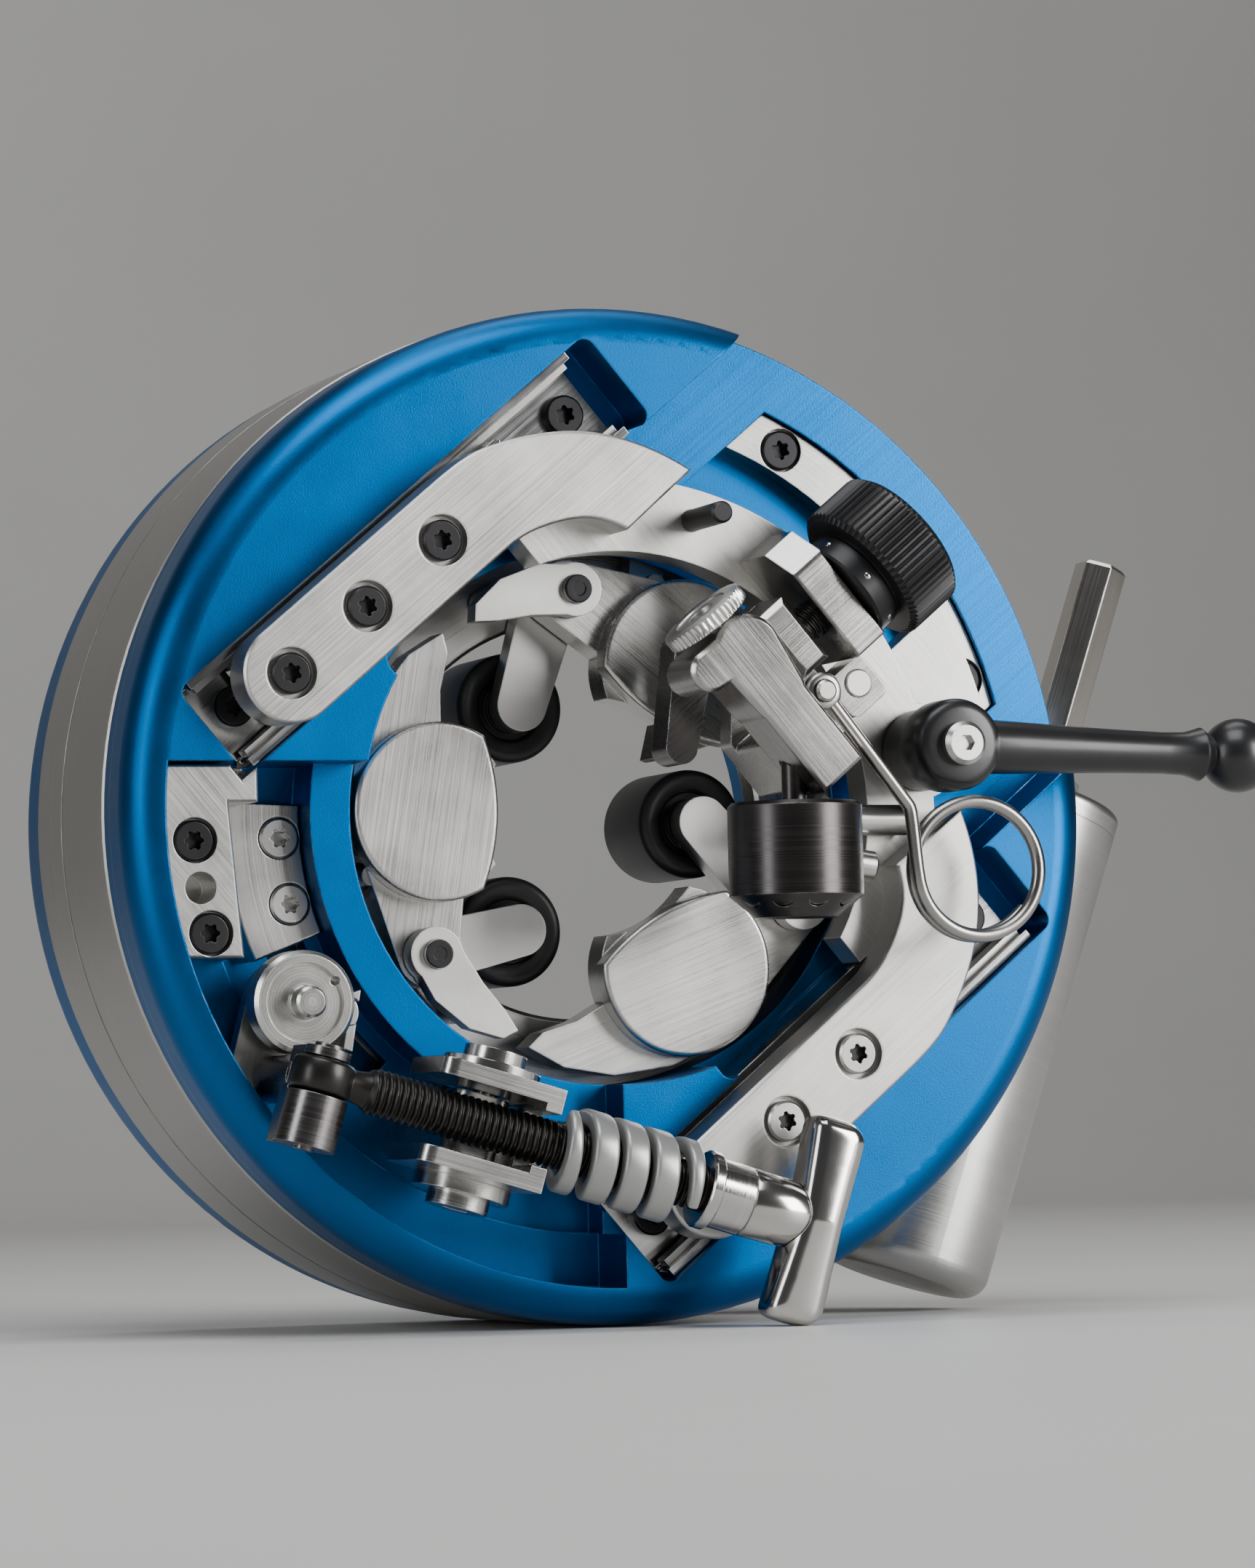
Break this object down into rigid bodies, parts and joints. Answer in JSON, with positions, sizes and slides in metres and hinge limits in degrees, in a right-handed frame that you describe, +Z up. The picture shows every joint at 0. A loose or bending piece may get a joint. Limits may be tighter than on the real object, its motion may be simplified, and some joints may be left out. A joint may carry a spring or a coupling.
{
  "type": "rotary cable stripping tool",
  "caption": "Drill-driven ring tool for stripping thick cable: worm-driven rotor, self-centring jaw iris, spring-loaded swing bolt, ball-rail tool slide and adjustable blade head.",
  "frame": {"origin": "on the ring axis, in the plane of the raised front face", "axes": "+Y along the ring axis from the front face to the back, +Z up, +X to the right seen from the front"},
  "size_m": [0.2438, 0.1272, 0.21],
  "materials": {
    "blue_anodised": "matt blue anodised, fine bead-blasted grain",
    "ring_steel": "satin turned steel",
    "brushed_stainless": "brushed stainless steel",
    "steel_screw": "plain steel screws",
    "black_oxide": "black oxide steel",
    "rail_chrome": "bright rail steel",
    "polished_steel": "polished steel",
    "spring_coat": "light grey spring steel, semi-gloss",
    "silver_aluminium": "silver anodised aluminium",
    "bronze": "bearing bronze",
    "black_knob": "black anodised, knurled",
    "lever_black": "gloss black coated lever",
    "roller_rubber": "black rubber"
  },
  "bodies": {
    "stator": {"stator_ring": "ring_steel", "bearings": "bronze", "gearbox_housing": "silver_aluminium", "gearbox_cap": "silver_aluminium", "gearbox_screws": "steel_screw"},
    "drive": {"worm": "ring_steel", "drive_shaft": "ring_steel"},
    "rotor": {"front_body": "blue_anodised", "rear_ring": "blue_anodised", "worm_wheel": "bronze", "jaw_carrier": "ring_steel", "rails": "rail_chrome", "ball_strips": "bronze", "arc_plates": "brushed_stainless", "side_block": "brushed_stainless", "black_screws": "black_oxide", "trench_screws": "steel_screw", "fork_lug": "ring_steel"},
    "cam": {"cam_ring": "ring_steel", "crank_plate": "brushed_stainless", "crank_knob": "brushed_stainless", "eye_clevis": "brushed_stainless"},
    "jaw_a": {"jaw_1": "brushed_stainless"},
    "jaw_b": {"jaw_2": "brushed_stainless"},
    "jaw_c": {"jaw_3": "brushed_stainless"},
    "carrier_a": {"link_1": "silver_aluminium"},
    "carrier_b": {"link_2": "silver_aluminium"},
    "carrier_c": {"link_3": "silver_aluminium"},
    "wheel_a": {"roller_1": "roller_rubber"},
    "wheel_b": {"roller_2": "roller_rubber"},
    "wheel_c": {"roller_3": "roller_rubber"},
    "bolt": {"swing_bolt": "black_oxide"},
    "nut": {"handle_hub": "polished_steel", "spring": "spring_coat"},
    "handle": {"t_handle": "polished_steel"},
    "fork": {"fork": "brushed_stainless", "fork_bosses": "brushed_stainless"},
    "slide": {"arm_a": "brushed_stainless", "arm_b": "brushed_stainless", "sliders": "rail_chrome", "arm_screws_a": "black_oxide", "arm_screws_b": "steel_screw", "bridge": "brushed_stainless", "stop_pin": "black_oxide", "screw_block": "brushed_stainless", "slide_pins": "steel_screw"},
    "tool": {"carriage": "brushed_stainless", "nut_block": "brushed_stainless", "knife_bar": "brushed_stainless", "blade_holder": "black_oxide", "blade": "brushed_stainless", "carriage_pins": "steel_screw"},
    "knob": {"feed_knob": "black_knob", "feed_screw": "black_oxide"},
    "blade_wheel": {"thumb_wheel": "black_oxide"},
    "drum": {"index_drum": "black_oxide"},
    "lever": {"ball_lever": "lever_black", "lever_screw": "steel_screw"},
    "ring": {"pull_ring": "polished_steel"}
  },
  "joints": [
    {"name": "rotor_spin", "type": "hinge", "parent": "stator", "child": "rotor", "pos_m": [0, 0, 0], "axis": [0, 1, 0], "continuous": true},
    {"name": "drive_spin", "type": "hinge", "parent": "stator", "child": "drive", "pos_m": [0.09928, 0.045, -0.03419], "axis": [0.3256, 0, 0.9455], "continuous": true},
    {"name": "cam_turn", "type": "hinge", "parent": "rotor", "child": "cam", "pos_m": [0, 0, 0], "axis": [0, -1, 0], "range_deg": [0, 3]},
    {"name": "jaw_a_swing", "type": "hinge", "parent": "rotor", "child": "jaw_a", "pos_m": [-0.03754, 0.019, -0.02829], "axis": [0, 1, 0], "range_deg": [0, 12]},
    {"name": "carrier_a_swing", "type": "hinge", "parent": "rotor", "child": "carrier_a", "pos_m": [-0.03754, 0.027, -0.02829], "axis": [0, -1, 0], "range_deg": [0, 9]},
    {"name": "roller_a_spin", "type": "hinge", "parent": "carrier_a", "child": "wheel_a", "pos_m": [-0.01407, 0.043, -0.02305], "axis": [0, 1, 0], "continuous": true},
    {"name": "jaw_b_swing", "type": "hinge", "parent": "rotor", "child": "jaw_b", "pos_m": [0.04326, 0.019, -0.01836], "axis": [0, 1, 0], "range_deg": [0, 12]},
    {"name": "carrier_b_swing", "type": "hinge", "parent": "rotor", "child": "carrier_b", "pos_m": [0.04326, 0.027, -0.01836], "axis": [0, -1, 0], "range_deg": [0, 9]},
    {"name": "roller_b_spin", "type": "hinge", "parent": "carrier_b", "child": "wheel_b", "pos_m": [0.02699, 0.043, -0.00066], "axis": [0, 1, 0], "continuous": true},
    {"name": "jaw_c_swing", "type": "hinge", "parent": "rotor", "child": "jaw_c", "pos_m": [-0.00573, 0.019, 0.04665], "axis": [0, 1, 0], "range_deg": [0, 12]},
    {"name": "carrier_c_swing", "type": "hinge", "parent": "rotor", "child": "carrier_c", "pos_m": [-0.00573, 0.027, 0.04665], "axis": [0, -1, 0], "range_deg": [0, 9]},
    {"name": "roller_c_spin", "type": "hinge", "parent": "carrier_c", "child": "wheel_c", "pos_m": [-0.01293, 0.043, 0.02371], "axis": [0, 1, 0], "continuous": true},
    {"name": "bolt_swing", "type": "hinge", "parent": "cam", "child": "bolt", "pos_m": [-0.07265, -0.022, -0.0532], "axis": [-0.2874, 0, -0.9578], "range_deg": [0, 85]},
    {"name": "handle_turn", "type": "hinge", "parent": "nut", "child": "handle", "pos_m": [0.02792, -0.022, -0.08337], "axis": [0.9578, 0, -0.2874], "range_deg": [-3, 61]},
    {"name": "handle_travel", "type": "slide", "parent": "bolt", "child": "nut", "axis": [0.9578, 0, -0.2874], "range_m": [0, 0.00025], "deforming": ["spring"]},
    {"name": "fork_tilt", "type": "hinge", "parent": "rotor", "child": "fork", "pos_m": [-0.03577, -0.007, -0.06426], "axis": [0.2874, 0, 0.9578], "range_deg": [0, 8]},
    {"name": "slide_feed", "type": "slide", "parent": "rotor", "child": "slide", "axis": [0.766, 0, 0.6428], "range_m": [-0.005, 0.005]},
    {"name": "feed_turn", "type": "hinge", "parent": "slide", "child": "knob", "pos_m": [0.04211, -0.014, 0.04316], "axis": [0.766, 0, 0.6428], "range_deg": [-1160, 1160]},
    {"name": "feed_travel", "type": "slide", "parent": "slide", "child": "tool", "axis": [0.766, 0, 0.6428], "range_m": [-0.004, 0.004]},
    {"name": "blade_wheel_turn", "type": "hinge", "parent": "tool", "child": "blade_wheel", "pos_m": [0.00679, -0.031, 0.03703], "axis": [-0.6428, 0, 0.766], "continuous": true},
    {"name": "drum_index", "type": "hinge", "parent": "tool", "child": "drum", "pos_m": [0.026, -0.0286, -0.008], "axis": [0, 0, 1], "continuous": true},
    {"name": "lever_swing", "type": "hinge", "parent": "slide", "child": "lever", "pos_m": [0.06541, -0.017, 0.01259], "axis": [0, -1, 0], "range_deg": [-40, 60]},
    {"name": "ring_swing", "type": "hinge", "parent": "tool", "child": "ring", "pos_m": [0.03186, -0.03, 0.02255], "axis": [0, -1, 0], "range_deg": [-5, 5]}
  ],
  "couplings": [
    {"joint": "drive_spin", "follows": "rotor_spin", "ratio": 96},
    {"joint": "jaw_a_swing", "follows": "cam_turn", "ratio": 4},
    {"joint": "carrier_a_swing", "follows": "cam_turn", "ratio": 3},
    {"joint": "jaw_b_swing", "follows": "cam_turn", "ratio": 4},
    {"joint": "carrier_b_swing", "follows": "cam_turn", "ratio": 3},
    {"joint": "jaw_c_swing", "follows": "cam_turn", "ratio": 4},
    {"joint": "carrier_c_swing", "follows": "cam_turn", "ratio": 3},
    {"joint": "handle_turn", "follows": "handle_travel", "rad_per_m": 4188.8},
    {"joint": "feed_turn", "follows": "feed_travel", "rad_per_m": -5026.5}
  ]
}
